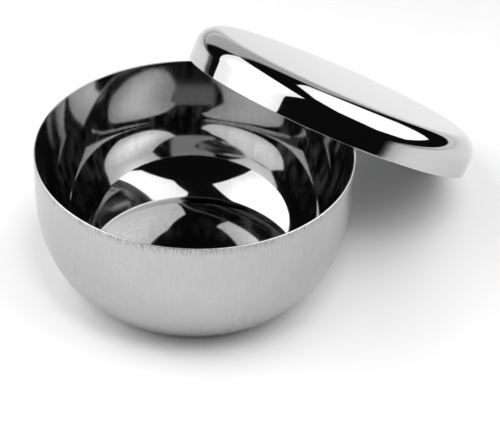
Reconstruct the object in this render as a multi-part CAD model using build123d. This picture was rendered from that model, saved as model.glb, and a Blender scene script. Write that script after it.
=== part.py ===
from build123d import *
import os
from math import cos, degrees, radians, sin, sqrt

# A shaving bowl in thin stainless sheet, in two separate pieces: a deep-drawn bowl with no handle,
# and a loose pressed lid. The lid leans: its near side lies across the bowl's rim, and its far
# side stands on the table.
# Millimetres. The origin is the centre of the bowl's flat base, and +Z is the bowl's axis.

# The sheet that both pieces are pressed from
SHEET = 0.6
EDGE_ROUND = 0.25  # deburred corners of the cut edge

# The bowl's outer face, from the rim down
BOWL_RADIUS = 50.0
BOWL_HEIGHT = 46.8
WALL_CURVE = 36.6  # length, in section, of the wall that curves in below the straight band
START_RADIUS = 67.7  # how gently it curves where it starts
END_RADIUS = 24.5  # how tightly it curves where it ends
CURVE_STEPS = 16
BASE_BEND = 2.5  # bend between the curved wall and the flat base

# The lid: a flat top, a rounded corner and a short straight skirt that goes over the rim
LID_RADIUS = 51.2
LID_DEPTH = 13.1
LID_CORNER = 7.0

# How the lid leans
LEAN_ANGLE = radians(32.5)  # slope of the lid's top
LEAN_HEADING = radians(47.0)  # the way it slopes down, from +X towards +Y
LEAN_GAP = 0.1  # air left at the two places where the lid's edge crosses the rim


def turned(outline):
    """The solid that a closed half-section, drawn as radius and height, sweeps about Z."""
    return revolve(Plane.XZ * outline, Axis.Z)


def wall_curve():
    """Distance in, distance down and turn inward, at even steps along the curved wall's outer face.

    The curvature grows evenly along the wall, which leaves the straight band without a corner.
    """
    step = WALL_CURVE / CURVE_STEPS
    gone_in, gone_down, turn = 0.0, 0.0, 0.0
    points = [(gone_in, gone_down, turn)]
    for i in range(CURVE_STEPS):
        share = (i + 0.5) / CURVE_STEPS
        bend = step * ((1 - share) / START_RADIUS + share / END_RADIUS)
        gone_in += step * sin(turn + bend / 2)
        gone_down += step * cos(turn + bend / 2)
        turn += bend
        points.append((gone_in, gone_down, turn))
    return points


def bowl_filled(inset):
    """The bowl as a full solid, with its surface this far in from the outer face."""
    curve = wall_curve()
    end_in, end_down, end_turn = curve[-1]
    curve_top = end_down + BASE_BEND * (1 - sin(end_turn))
    wall = [
        Vector(BOWL_RADIUS - x - inset * cos(turn), curve_top - y + inset * sin(turn))
        for x, y, turn in curve
    ]
    bend_centre = Vector(BOWL_RADIUS - end_in - BASE_BEND * cos(end_turn), BASE_BEND)
    wall_line = Spline(*wall, tangents=[(0, -1), (-sin(end_turn), -cos(end_turn))])
    bend = CenterArc(
        bend_centre, BASE_BEND - inset, -degrees(end_turn), degrees(end_turn) - 90
    )
    rest = Polyline(
        bend @ 1, (0, inset), (0, BOWL_HEIGHT), (BOWL_RADIUS - inset, BOWL_HEIGHT), wall[0]
    )
    return turned(make_face(wall_line + bend + rest))


def lid_filled(inset):
    """The lid, level and with its lower edge at height 0, as a full solid of this inset."""
    radius = LID_RADIUS - inset
    top = LID_DEPTH - inset
    outline = make_face(Polyline((0, 0), (radius, 0), (radius, top), (0, top), close=True))
    corner = outline.vertices().sort_by_distance((radius, top))[0]
    return turned(fillet(corner, LID_CORNER - inset))


def shell(filled, open_height):
    """A cup of sheet from a filled shape, with the cut edge at the given height deburred."""
    cup = filled(0) - filled(SHEET)
    cut_edge = cup.edges().filter_by_position(Axis.Z, open_height, open_height)
    return fillet(cut_edge, EDGE_ROUND)


def lean_height():
    """Height of the centre of the lid's lower edge, with the edge's low point on the table."""
    corner_loss = EDGE_ROUND * (sin(LEAN_ANGLE) + cos(LEAN_ANGLE) - 1)
    return LID_RADIUS * sin(LEAN_ANGLE) - corner_loss


def lean_reach():
    """Distance from the bowl's axis to that centre, with the inner edge just clear of the rim."""
    inner = LID_RADIUS - SHEET
    back = (BOWL_HEIGHT - lean_height()) / sin(LEAN_ANGLE)
    half_chord = sqrt(inner**2 - back**2)
    return sqrt(BOWL_RADIUS**2 - half_chord**2) + back * cos(LEAN_ANGLE) + LEAN_GAP


def leaned(lid):
    """The level lid, tilted and put in its place against the bowl."""
    across = lean_reach()
    place = Pos(across * cos(LEAN_HEADING), across * sin(LEAN_HEADING), lean_height())
    return place * Rot(Z=degrees(LEAN_HEADING)) * Rot(Y=degrees(LEAN_ANGLE)) * lid


parts = {
    "bowl": shell(bowl_filled, BOWL_HEIGHT),
    "lid": leaned(shell(lid_filled, 0)),
}

os.makedirs("parts", exist_ok=True)
for name, part in parts.items():
    part.label = name
    export_step(part, f"parts/{name}.step")
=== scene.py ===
from math import cos, pi, radians, sin, sqrt

import bpy
from mathutils import Matrix, Vector


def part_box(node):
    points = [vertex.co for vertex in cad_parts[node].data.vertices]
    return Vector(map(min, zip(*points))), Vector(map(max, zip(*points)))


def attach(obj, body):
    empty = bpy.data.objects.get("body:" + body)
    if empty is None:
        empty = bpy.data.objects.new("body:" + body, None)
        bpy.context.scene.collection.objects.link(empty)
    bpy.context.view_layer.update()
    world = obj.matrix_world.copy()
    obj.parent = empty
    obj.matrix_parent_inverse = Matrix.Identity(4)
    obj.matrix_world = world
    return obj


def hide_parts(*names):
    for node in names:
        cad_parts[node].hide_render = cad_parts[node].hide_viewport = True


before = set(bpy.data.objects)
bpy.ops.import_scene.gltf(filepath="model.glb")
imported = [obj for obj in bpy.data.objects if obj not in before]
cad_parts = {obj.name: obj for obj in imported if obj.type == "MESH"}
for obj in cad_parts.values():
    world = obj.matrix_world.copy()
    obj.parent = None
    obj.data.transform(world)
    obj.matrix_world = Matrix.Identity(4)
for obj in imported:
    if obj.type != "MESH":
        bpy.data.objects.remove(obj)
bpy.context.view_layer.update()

# A two-piece stainless shaving bowl: a deep-drawn bowl and a loose lid that leans across its rim.
# Metres, in the CAD model's frame: origin at the centre of the bowl's base, +Z up.

_, bowl_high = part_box("bowl")

MM = 0.001

# The sheet
SHEET = 0.6 * MM
EDGE_ROUND = 0.25 * MM

# The bowl's outer face
BOWL_RADIUS = bowl_high.x
BOWL_HEIGHT = bowl_high.z
WALL_CURVE = 36.6 * MM  # length, in section, of the wall that curves in below the straight band
START_RADIUS = 67.7 * MM  # how gently it curves where it starts
END_RADIUS = 24.5 * MM  # how tightly it curves where it ends
BASE_BEND = 2.5 * MM

# The lid and its lean
LID_RADIUS = 51.2 * MM
LID_DEPTH = 13.1 * MM
LID_CORNER = 7.0 * MM
LEAN_ANGLE = radians(32.5)
LEAN_HEADING = radians(47.0)
LEAN_GAP = 0.1 * MM

OWN_PLACE = "own_place"  # mesh attribute: where a point is on its own level, centred piece

# Bands of wear on the bowl, by height
RIM_MARKS_LOW = BOWL_HEIGHT - 3.2 * MM
RIM_MARKS_FULL = BOWL_HEIGHT - 0.4 * MM
SCUFF_START = 11 * MM
SCUFF_FULL = 18 * MM
SCUFF_FADE = 25 * MM
SCUFF_END = 33 * MM
HAZE_BELOW_BAND = 6 * MM  # the satin haze starts this far under the straight band
HAZE_ABOVE_CURVE = 2 * MM  # and is full this far up the band

# Mesh density
TURN_STEPS = 256
ARC_STEP = radians(2.5)
CURVE_STEPS = 64

# Camera
CAMERA_AT = Vector((0.0, -405.0, 338.4)) * MM
CAMERA_PITCH = radians(38.2)
CAMERA_YAW = radians(2.56)
CAMERA_ROLL = radians(2.73)
CAMERA_LENS = 115.3
SENSOR_WIDTH = 36.0


# ---- outlines: lists of (radius, height, zone) ----

def arc(centre, radius, start, end, zone):
    """Points along an arc of a half-section, both ends included."""
    steps = max(2, round(abs(end - start) / ARC_STEP))
    points = []
    for i in range(steps + 1):
        a = start + (end - start) * i / steps
        points.append((centre[0] + radius * cos(a), centre[1] + radius * sin(a), zone))
    return points


def line(start, end, steps, zone):
    """Evenly spaced points of a straight run, both ends included."""
    return [
        (start[0] + (end[0] - start[0]) * i / steps, start[1] + (end[1] - start[1]) * i / steps, zone)
        for i in range(steps + 1)
    ]


def wall_curve():
    """Distance in, distance down and turn inward, at even steps along the curved wall."""
    step = WALL_CURVE / CURVE_STEPS
    gone_in, gone_down, turn = 0.0, 0.0, 0.0
    points = [(gone_in, gone_down, turn)]
    for i in range(CURVE_STEPS):
        share = (i + 0.5) / CURVE_STEPS
        bend = step * ((1 - share) / START_RADIUS + share / END_RADIUS)
        gone_in += step * sin(turn + bend / 2)
        gone_down += step * cos(turn + bend / 2)
        turn += bend
        points.append((gone_in, gone_down, turn))
    return points


def curve_top():
    """Height at which the straight band ends and the wall starts to curve in."""
    end_turn = wall_curve()[-1][2]
    return wall_curve()[-1][1] + BASE_BEND * (1 - sin(end_turn))


def bowl_wall(inset, zone):
    """One face of the bowl's sheet from the rim to the centre of the base, this far in."""
    top = curve_top()
    curve = wall_curve()
    end_in, end_down, end_turn = curve[-1]
    bend_centre = (BOWL_RADIUS - end_in - BASE_BEND * cos(end_turn), BASE_BEND)
    wall = line((BOWL_RADIUS - inset, BOWL_HEIGHT - EDGE_ROUND), (BOWL_RADIUS - inset, top), 12, zone)
    for x, y, turn in curve[1:]:
        wall.append((BOWL_RADIUS - x - inset * cos(turn), top - y + inset * sin(turn), zone))
    wall += arc(bend_centre, BASE_BEND - inset, -end_turn, -pi / 2, zone)[1:]
    wall += line((bend_centre[0], inset), (0, inset), 10, zone)[1:]
    return wall


def bowl_outline():
    """The bowl's closed half-section, from the centre underneath, round the lip, to the floor."""
    outside = bowl_wall(0, "outside")
    inside = bowl_wall(SHEET, "inside")
    top = BOWL_HEIGHT - EDGE_ROUND
    outer = (BOWL_RADIUS - EDGE_ROUND, top)
    inner = (BOWL_RADIUS - SHEET + EDGE_ROUND, top)
    lip = arc(outer, EDGE_ROUND, 0, pi / 4, "outside")
    lip += arc(outer, EDGE_ROUND, pi / 4, pi / 2, "lip")[1:]
    lip += arc(inner, EDGE_ROUND, pi / 2, pi, "inside")
    return outside[::-1][:-1] + lip + inside[1:]


def lid_face(inset, zone):
    """One face of the lid's sheet from the skirt's edge to the centre of the top, lid level."""
    radius = LID_RADIUS - inset
    corner = LID_CORNER - inset
    centre = (LID_RADIUS - LID_CORNER, LID_DEPTH - LID_CORNER)
    face = line((radius, EDGE_ROUND), (radius, centre[1]), 5, zone)
    face += arc(centre, corner, 0, pi / 2, zone)[1:]
    face += line((centre[0], LID_DEPTH - inset), (0, LID_DEPTH - inset), 10, zone)[1:]
    return face


def lid_outline():
    """The lid's closed half-section, from the centre of the top, round the edge, to the inside."""
    outside = lid_face(0, "outside")
    inside = lid_face(SHEET, "inside")
    outer = (LID_RADIUS - EDGE_ROUND, EDGE_ROUND)
    inner = (LID_RADIUS - SHEET + EDGE_ROUND, EDGE_ROUND)
    edge = arc(outer, EDGE_ROUND, 0, -pi / 4, "outside")
    edge += arc(outer, EDGE_ROUND, -pi / 4, -pi / 2, "lip")[1:]
    edge += arc(inner, EDGE_ROUND, -pi / 2, -pi, "inside")
    return outside[::-1][:-1] + edge + inside[1:]


# ---- meshes ----

def turned(name, outline, materials, where):
    """A closed mesh swept about Z from a half-section with both ends on the axis, then put in place."""
    zones = list(materials)
    vertices = [(0, 0, outline[0][1])]
    for r, z, _ in outline[1:-1]:
        for k in range(TURN_STEPS):
            a = 2 * pi * k / TURN_STEPS
            vertices.append((r * cos(a), r * sin(a), z))
    vertices.append((0, 0, outline[-1][1]))
    rings = len(outline) - 2
    last = len(vertices) - 1
    faces = []
    face_zones = []
    for k in range(TURN_STEPS):
        after = (k + 1) % TURN_STEPS
        faces.append((0, 1 + after, 1 + k))
        face_zones.append(zones.index(outline[0][2]))
        for i in range(rings - 1):
            low = 1 + i * TURN_STEPS
            high = low + TURN_STEPS
            faces.append((low + k, low + after, high + after, high + k))
            face_zones.append(zones.index(outline[i + 2][2]))
        end = 1 + (rings - 1) * TURN_STEPS
        faces.append((end + k, end + after, last))
        face_zones.append(zones.index(outline[-1][2]))
    mesh = bpy.data.meshes.new(name)
    mesh.from_pydata(vertices, [], faces)
    for material in materials.values():
        mesh.materials.append(material)
    mesh.polygons.foreach_set("material_index", face_zones)
    mesh.polygons.foreach_set("use_smooth", [True] * len(faces))
    own_place = mesh.attributes.new(OWN_PLACE, "FLOAT_VECTOR", "POINT")
    own_place.data.foreach_set("vector", [value for vertex in vertices for value in vertex])
    mesh.transform(where)
    piece = bpy.data.objects.new(name, mesh)
    bpy.context.scene.collection.objects.link(piece)
    return piece


def lean_height():
    """Height of the centre of the lid's lower edge, with the edge's low point on the table."""
    corner_loss = EDGE_ROUND * (sin(LEAN_ANGLE) + cos(LEAN_ANGLE) - 1)
    return LID_RADIUS * sin(LEAN_ANGLE) - corner_loss


def lean_reach():
    """Distance from the bowl's axis to that centre, with the inner edge just clear of the rim."""
    inner = LID_RADIUS - SHEET
    back = (BOWL_HEIGHT - lean_height()) / sin(LEAN_ANGLE)
    half_chord = sqrt(inner**2 - back**2)
    return sqrt(BOWL_RADIUS**2 - half_chord**2) + back * cos(LEAN_ANGLE) + LEAN_GAP


def lean_matrix():
    """Where the level lid goes: tilted down along its heading, against the bowl's rim."""
    reach = lean_reach()
    place = Matrix.Translation((reach * cos(LEAN_HEADING), reach * sin(LEAN_HEADING), lean_height()))
    return place @ Matrix.Rotation(LEAN_HEADING, 4, "Z") @ Matrix.Rotation(LEAN_ANGLE, 4, "Y")


# ---- materials ----

STEEL = (0.54, 0.54, 0.543)  # the lid, and the bowl's scuffs
EDGE_HIGHLIGHT_STEEL = (0.95, 0.95, 0.95)  # the cut edges, made far brighter than the steel beside them as a painted highlight
SATIN_STEEL = (0.47, 0.47, 0.473)  # the bowl's outside
WORN_MIRROR = (0.53, 0.53, 0.533)  # the bowl's inside
SCUFF_ROUGHNESS = 0.4
EDGE_ROUGHNESS = 0.35
STEEL_OUTPUT = "steel_output"


def node(tree, kind, inputs=None, **settings):
    """A new shader node. Inputs are socket values, or outputs of other nodes to link from."""
    made = tree.nodes.new("ShaderNode" + kind)
    for name, value in settings.items():
        setattr(made, name, value)
    for name, value in (inputs or {}).items():
        feed(tree, made.inputs[name], value)
    return made


def feed(tree, socket, value):
    """Links a socket to another node's output, or sets it to a constant."""
    if isinstance(value, bpy.types.NodeSocket):
        tree.links.new(value, socket)
    else:
        socket.default_value = value


def maths(tree, operation, *values):
    """The result of a maths node."""
    return node(tree, "Math", dict(enumerate(values)), operation=operation).outputs[0]


def times(tree, first, second):
    """The product of two values."""
    return maths(tree, "MULTIPLY", first, second)


def remap(tree, value, old_low, old_high, new_low, new_high):
    """A value eased from one range to another, and held inside the new one."""
    inputs = {
        "Value": value,
        "From Min": old_low,
        "From Max": old_high,
        "To Min": new_low,
        "To Max": new_high,
    }
    return node(tree, "MapRange", inputs, interpolation_type="SMOOTHSTEP").outputs["Result"]


def noise(tree, vector, scale, detail=2.0):
    """Smooth noise from 0 to 1 on the given coordinates."""
    inputs = {"Vector": vector, "Scale": scale, "Detail": detail, "Roughness": 0.6}
    return node(tree, "TexNoise", inputs).outputs["Fac"]


def place(tree):
    """A piece's own coordinates: the vector, its level part, its height and its radius."""
    vector = node(tree, "Attribute", attribute_name=OWN_PLACE).outputs["Vector"]
    split = node(tree, "SeparateXYZ", {0: vector})
    flat = node(tree, "CombineXYZ", {0: split.outputs[0], 1: split.outputs[1]}).outputs[0]
    radius = node(tree, "VectorMath", {0: flat}, operation="LENGTH").outputs["Value"]
    return vector, flat, split.outputs[2], radius


def upright_streaks(tree, flat, height, scale, stretch):
    """Noise drawn out along the wall, up and down, as a press draws its marks."""
    unit = node(tree, "VectorMath", {0: flat}, operation="NORMALIZE").outputs[0]
    split = node(tree, "SeparateXYZ", {0: unit})
    lifted = times(tree, height, stretch)
    inputs = {0: split.outputs[0], 1: split.outputs[1], 2: lifted}
    return noise(tree, node(tree, "CombineXYZ", inputs).outputs[0], scale)


def ring_streaks(tree, height, radius, scale, vector):
    """Noise drawn out round the axis, as a polishing wheel leaves it on a turning piece."""
    rings = node(tree, "CombineXYZ", {0: radius, 1: 0.0, 2: height}).outputs[0]
    drift = node(tree, "VectorMath", {0: vector, "Scale": 0.02}, operation="SCALE").outputs[0]
    return noise(tree, node(tree, "VectorMath", {0: rings, 1: drift}).outputs[0], scale)


def steel(name):
    """A bare metal, still to be dressed: its material, node tree and shader."""
    material = bpy.data.materials.new(name)
    material.use_nodes = True
    tree = material.node_tree
    tree.nodes.clear()
    shader = node(tree, "BsdfPrincipled", {"Metallic": 1.0})
    node(tree, "OutputMaterial", {"Surface": shader.outputs[0]}, name=STEEL_OUTPUT)
    return material, tree, shader


def dress(tree, shader, colour, tone, roughness, bumps):
    """Gives a steel its colour times a tone, its roughness, and bumps: pairs of height and depth."""
    inputs = {0: colour, "Scale": tone}
    toned = node(tree, "VectorMath", inputs, operation="SCALE").outputs[0]
    feed(tree, shader.inputs["Base Color"], toned)
    feed(tree, shader.inputs["Roughness"], roughness)
    for height, depth in bumps:
        inputs = {"Height": height, "Distance": depth, "Strength": 1.0}
        if shader.inputs["Normal"].is_linked:
            inputs["Normal"] = shader.inputs["Normal"].links[0].from_socket
        bump = node(tree, "Bump", inputs)
        feed(tree, shader.inputs["Normal"], bump.outputs[0])


def scuff(tree, shader, share):
    """Lays a haze of fine scratches over this share of a polished steel."""
    dull = node(tree, "BsdfAnisotropic", {"Color": (*STEEL, 1), "Roughness": SCUFF_ROUGHNESS})
    both = node(tree, "MixShader", {0: share, 1: shader.outputs[0], 2: dull.outputs[0]})
    feed(tree, tree.nodes[STEEL_OUTPUT].inputs["Surface"], both.outputs[0])


def bowl_outside():
    """Satin wall: fine upright draw marks, and short dark ones close under the rim."""
    material, tree, shader = steel("bowl_outside_steel")
    vector, flat, height, _ = place(tree)
    fine = upright_streaks(tree, flat, height, 150, 1.5)
    coarse = upright_streaks(tree, flat, height, 55, 3.0)
    clouds = noise(tree, vector, 60, 3.0)
    near_rim = remap(tree, height, RIM_MARKS_LOW, RIM_MARKS_FULL, 0.0, 1.0)
    marks = times(tree, near_rim, remap(tree, fine, 0.45, 0.57, 0.0, 1.0))
    worn = maths(tree, "SUBTRACT", 1.0, times(tree, marks, 0.28))
    streaky = remap(tree, coarse, 0.3, 0.7, 0.94, 1.0)
    cloudy = remap(tree, clouds, 0.3, 0.7, 0.97, 1.0)
    tone = times(tree, worn, times(tree, streaky, cloudy))
    rough = maths(tree, "ADD", remap(tree, clouds, 0.3, 0.7, 0.23, 0.28), times(tree, marks, 0.2))
    dress(tree, shader, SATIN_STEEL, tone, rough, [(fine, 0.0006 * MM)])
    return material


def bowl_inside():
    """Mirror-polished inside, hazier on the straight wall and where the wall starts to curve."""
    material, tree, shader = steel("bowl_inside_steel")
    vector, flat, height, radius = place(tree)
    fine = upright_streaks(tree, flat, height, 160, 2.0)
    rings = ring_streaks(tree, height, radius, 1500, vector)
    clouds = noise(tree, vector, 45, 2.0)
    band = curve_top()
    upper = remap(tree, height, band - HAZE_BELOW_BAND, band + HAZE_ABOVE_CURVE, 0.0, 1.0)
    haze = times(tree, upper, remap(tree, fine, 0.35, 0.65, 0.005, 0.035))
    rough = maths(tree, "ADD", remap(tree, clouds, 0.3, 0.7, 0.04, 0.055), haze)
    turned_grain = remap(tree, rings, 0.3, 0.7, 0.93, 1.0)
    upright_grain = remap(tree, fine, 0.35, 0.65, 0.94, 1.0)
    grain = times(tree, turned_grain, upright_grain)
    bumps = [(rings, 0.0007 * MM), (fine, 0.0006 * MM), (clouds, 0.04 * MM)]
    dress(tree, shader, WORN_MIRROR, grain, rough, bumps)
    ring_low = remap(tree, height, SCUFF_START, SCUFF_FULL, 0.0, 1.0)
    ring_high = remap(tree, height, SCUFF_FADE, SCUFF_END, 1.0, 0.04)
    patchy = remap(tree, upright_streaks(tree, flat, height, 12, 6.0), 0.42, 0.68, 0.0, 0.20)
    scuff(tree, shader, times(tree, times(tree, ring_low, ring_high), patchy))
    return material


def lid_outside():
    """Polished top and skirt with a faint haze and a few fine rubs."""
    material, tree, shader = steel("lid_outside_steel")
    vector, _, height, radius = place(tree)
    rings = ring_streaks(tree, height, radius, 1200, vector)
    clouds = noise(tree, vector, 50, 3.0)
    rough = remap(tree, clouds, 0.3, 0.7, 0.03, 0.05)
    tone = remap(tree, rings, 0.3, 0.7, 0.97, 1.0)
    dress(tree, shader, STEEL, tone, rough, [(rings, 0.0005 * MM), (clouds, 0.015 * MM)])
    return material


def lid_inside():
    """Duller pressed face with drawn-out marks."""
    material, tree, shader = steel("lid_inside_steel")
    vector, _, height, radius = place(tree)
    rings = ring_streaks(tree, height, radius, 900, vector)
    clouds = noise(tree, vector, 60, 3.0)
    rough = remap(tree, clouds, 0.3, 0.7, 0.16, 0.24)
    tone = remap(tree, rings, 0.3, 0.7, 0.92, 1.0)
    dress(tree, shader, STEEL, tone, rough, [(rings, 0.001 * MM)])
    return material


def cut_edge(name):
    """The smoothly deburred edge of the sheet, its steel made far brighter than the rest as a painted
    highlight.
    """
    material, tree, shader = steel(name)
    _, flat, height, _ = place(tree)
    nicks = upright_streaks(tree, flat, height, 90, 1.0)
    tone = remap(tree, nicks, 0.3, 0.7, 0.9, 1.0)
    # the edge's colour is a painted highlight: the same steel, brightened to show as a bright line
    dress(tree, shader, EDGE_HIGHLIGHT_STEEL, tone, EDGE_ROUGHNESS, [])
    return material


def build_bowl():
    materials = {
        "outside": bowl_outside(),
        "lip": cut_edge("bowl_edge_highlight_steel"),
        "inside": bowl_inside(),
    }
    piece = turned("bowl_shell", bowl_outline(), materials, Matrix.Identity(4))
    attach(piece, "bowl")
    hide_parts("bowl")


def build_lid():
    materials = {
        "outside": lid_outside(),
        "lip": cut_edge("lid_edge_highlight_steel"),
        "inside": lid_inside(),
    }
    piece = turned("lid_shell", lid_outline(), materials, lean_matrix())
    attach(piece, "lid")
    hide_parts("lid")


# ---- studio ----

FLOOR_HALF = 6.0
FLOOR_COLOUR = (0.95, 0.95, 0.95, 1)
FLOOR_ROUGHNESS = 0.9
# A softbox glows most in front of its lamp and falls off over this distance
SOFTBOX_EDGE = 1.6
SOFTBOX_FALL = 0.42
# Each panel faces the origin from a distance, at a zenith and azimuth. Shift moves it within its own
# plane, cut bevels its corners as a share of its size, and lamp is where its radiance is brightest.
SOFTBOXES = [
    {
        "name": "softbox_left",
        "distance": 0.575,
        "zenith": radians(40.9),
        "azimuth": radians(177.6),
        "roll": radians(12.7),
        "half_size": (0.359, 0.427),
        "cut": 0.0,
        "shift": (-0.137, 0.004),
        "lamp": (-0.423, -0.022, 0.396),
        "brightest": 3.3,
    },
    {
        "name": "softbox_right",
        "distance": 0.418,
        "zenith": radians(45.1),
        "azimuth": radians(3.1),
        "roll": radians(-3.2),
        "half_size": (0.289, 0.292),
        "cut": 0.25,
        "shift": (-0.078, -0.027),
        "lamp": (0.28, -0.03, 0.31),
        "brightest": 2.5,
    },
]
ROOM_RADIANCE = 0.006
# A grey wall behind the object: headings are turned from +Y towards +X
WALL_RADIANCE = 0.62
WALL_LEFT = radians(-33)
WALL_RIGHT = radians(27)
WALL_TOP = radians(42)
WALL_BLUR = radians(4)
# A lamp high over the object, which lights the floor
LAMP_AT = (0.18, -0.28, 1.0)
LAMP_WATTS = 5.6
LAMP_SIZE = 0.45
# The sweep behind the object and to its right glows. Distances are along GLOW_WAY: x plus y.
GLOW_WAY = (1, 1, 0)
GLOW_START = 0.35
GLOW_FULL = 1.0
GLOW = 0.75


def build_floor():
    """A plain pale floor that glows far behind the object, as a lit studio sweep does."""
    mesh = bpy.data.meshes.new("floor")
    side = FLOOR_HALF
    corners = [(-side, -side, 0), (side, -side, 0), (side, side, 0), (-side, side, 0)]
    mesh.from_pydata(corners, [], [(0, 1, 2, 3)])
    floor = bpy.data.objects.new("floor", mesh)
    bpy.context.scene.collection.objects.link(floor)
    material = bpy.data.materials.new("floor_paper")
    material.use_nodes = True
    tree = material.node_tree
    shader = tree.nodes["Principled BSDF"]
    shader.inputs["Base Color"].default_value = FLOOR_COLOUR
    shader.inputs["Roughness"].default_value = FLOOR_ROUGHNESS
    shader.inputs["Specular IOR Level"].default_value = 0.0
    shader.inputs["Emission Color"].default_value = (1, 1, 1, 1)
    spot = node(tree, "TexCoord").outputs["Object"]
    inputs = {0: spot, 1: GLOW_WAY}
    beyond = node(tree, "VectorMath", inputs, operation="DOT_PRODUCT").outputs["Value"]
    glow = remap(tree, beyond, GLOW_START, GLOW_FULL, 0.0, GLOW)
    feed(tree, shader.inputs["Emission Strength"], glow)
    mesh.materials.append(material)


def build_softbox(name, distance, zenith, azimuth, roll, half_size, cut, shift, lamp, brightest):
    """A glowing panel facing the object, which the camera doesn't see."""
    a, b = half_size
    bevel = cut * (a + b)
    outline = [(a, b - bevel), (a - bevel, b), (bevel - a, b), (-a, b - bevel)]
    outline += [(-a, bevel - b), (bevel - a, -b), (a - bevel, -b), (a, bevel - b)]
    normal = Vector((sin(zenith) * cos(azimuth), sin(zenith) * sin(azimuth), cos(zenith)))
    level = Vector((0, 1, 0)).cross(normal).normalized()
    upright = normal.cross(level)
    across = cos(roll) * level + sin(roll) * upright
    along = cos(roll) * upright - sin(roll) * level
    middle = normal * distance + across * shift[0] + along * shift[1]
    points = [middle + across * x + along * y for x, y in outline]
    mesh = bpy.data.meshes.new(name)
    mesh.from_pydata(points, [], [tuple(range(len(points)))])
    panel = bpy.data.objects.new(name, mesh)
    bpy.context.scene.collection.objects.link(panel)
    material = bpy.data.materials.new(name)
    material.use_nodes = True
    tree = material.node_tree
    tree.nodes.clear()
    spot = node(tree, "TexCoord").outputs["Object"]
    inputs = {0: spot, 1: lamp}
    away = node(tree, "VectorMath", inputs, operation="DISTANCE").outputs["Value"]
    strength = remap(tree, away, 0.0, SOFTBOX_FALL, brightest, SOFTBOX_EDGE)
    glow = node(tree, "Emission", {"Strength": strength})
    node(tree, "OutputMaterial", {"Surface": glow.outputs[0]})
    mesh.materials.append(material)
    panel.visible_camera = False


def build_lamp():
    """A soft lamp over the table that adds light but no reflection of its own."""
    data = bpy.data.lights.new("table_lamp", "AREA")
    data.shape = "DISK"
    data.size = LAMP_SIZE
    data.energy = LAMP_WATTS
    lamp = bpy.data.objects.new("table_lamp", data)
    bpy.context.scene.collection.objects.link(lamp)
    lamp.location = LAMP_AT
    lamp.rotation_euler = (-Vector(LAMP_AT)).to_track_quat("-Z", "Y").to_euler()
    lamp.visible_glossy = False
    lamp.visible_camera = False


def build_world():
    """A dark studio with a grey wall low behind the object, and plain pale to the camera."""
    world = bpy.data.worlds.new("studio")
    bpy.context.scene.world = world
    world.use_nodes = True
    tree = world.node_tree
    tree.nodes.clear()
    split = node(tree, "SeparateXYZ", {0: node(tree, "TexCoord").outputs["Generated"]})
    east, north, height = split.outputs
    heading = maths(tree, "ARCTAN2", east, north)
    left_edge = remap(tree, heading, WALL_LEFT - WALL_BLUR, WALL_LEFT + WALL_BLUR, 0.0, 1.0)
    right_edge = remap(tree, heading, WALL_RIGHT - WALL_BLUR, WALL_RIGHT + WALL_BLUR, 1.0, 0.0)
    top_edge = remap(tree, height, sin(WALL_TOP - 2 * WALL_BLUR), sin(WALL_TOP + WALL_BLUR), 1.0, 0.0)
    wall = times(tree, times(tree, left_edge, right_edge), top_edge)
    level = remap(tree, wall, 0.0, 1.0, ROOM_RADIANCE, WALL_RADIANCE)
    seen = node(tree, "LightPath").outputs["Is Camera Ray"]
    strength = maths(tree, "MAXIMUM", level, seen)
    background = node(tree, "Background", {"Color": (1, 1, 1, 1), "Strength": strength})
    node(tree, "OutputWorld", {"Surface": background.outputs[0]})


def build_camera():
    """The camera, aimed by its pitch below level, its turn to the right and its roll."""
    data = bpy.data.cameras.new("camera")
    data.lens = CAMERA_LENS
    data.sensor_width = SENSOR_WIDTH
    data.sensor_fit = "HORIZONTAL"
    data.clip_start = 0.01
    camera = bpy.data.objects.new("camera", data)
    bpy.context.scene.collection.objects.link(camera)
    turn = Matrix.Rotation(-CAMERA_YAW, 4, "Z") @ Matrix.Rotation(pi / 2 - CAMERA_PITCH, 4, "X")
    camera.matrix_world = Matrix.Translation(CAMERA_AT) @ turn @ Matrix.Rotation(CAMERA_ROLL, 4, "Z")
    bpy.context.scene.camera = camera


build_camera()
build_bowl()
build_lid()
build_floor()
for softbox in SOFTBOXES:
    build_softbox(**softbox)
build_lamp()
build_world()
bpy.context.scene.view_settings.view_transform = "Standard"
